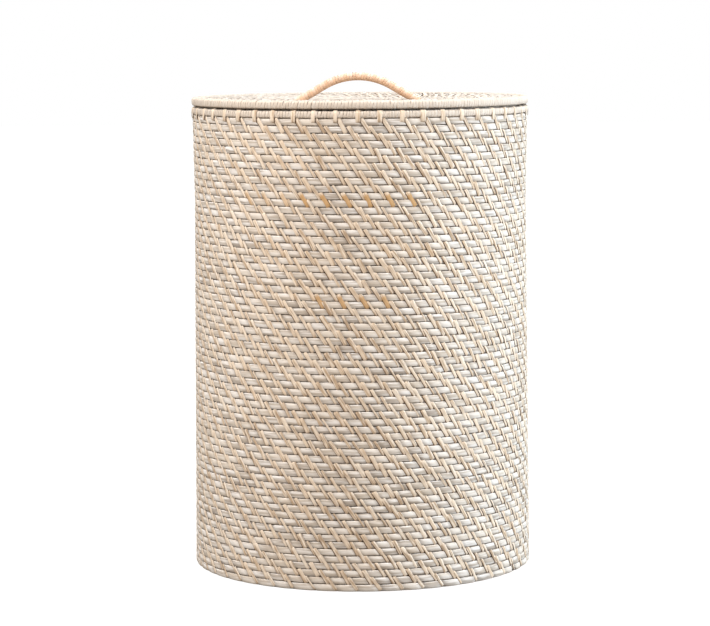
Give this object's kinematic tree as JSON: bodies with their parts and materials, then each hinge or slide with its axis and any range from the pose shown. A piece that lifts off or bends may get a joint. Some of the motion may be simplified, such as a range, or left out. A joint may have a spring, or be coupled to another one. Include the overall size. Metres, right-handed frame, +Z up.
{
  "type": "lidded laundry hamper",
  "caption": "Round woven laundry hamper of coiled, whitewashed cane with a slightly dished lift-off lid and an arched, wrapped carrying handle on the lid.",
  "frame": {"origin": "centre of the foot's flat underside, on the ground", "axes": "+Z up through the lid, X along the handle, -Y towards the viewer who faces the handle side on"},
  "size_m": [0.4124, 0.4124, 0.5992],
  "materials": {
    "whitewashed_cane": "whitewashed round cane, satin, with fine lengthwise grain",
    "tan_lashing": "split cane strips, washed tan, satin",
    "rim_strip": "fine split cane wound side by side, satin",
    "handle_strip": "split cane wound side by side, warm tan, satin",
    "inner_cane": "plain bent cane"
  },
  "bodies": {
    "basket": {"foot_hoop": "whitewashed_cane", "floor_coil": "whitewashed_cane", "floor_lashing": "tan_lashing", "wall_coil": "whitewashed_cane", "wall_lashing": "tan_lashing", "rim_hoop": "inner_cane", "rim_wrap": "rim_strip", "rim_ties": "tan_lashing"},
    "lid": {"lid_coil": "whitewashed_cane", "lid_lashing": "tan_lashing", "lid_rim_hoop": "inner_cane", "lid_rim_wrap": "rim_strip", "locating_ring": "inner_cane", "locating_ring_wrap": "rim_strip", "handle_core": "inner_cane", "handle_wrap": "handle_strip", "handle_lashing_left": "handle_strip", "handle_lashing_right": "handle_strip"}
  },
  "joints": [
    {"name": "lid_lift", "type": "slide", "parent": "basket", "child": "lid", "axis": [0, 0, 1], "range_m": [0, 0.3]}
  ]
}
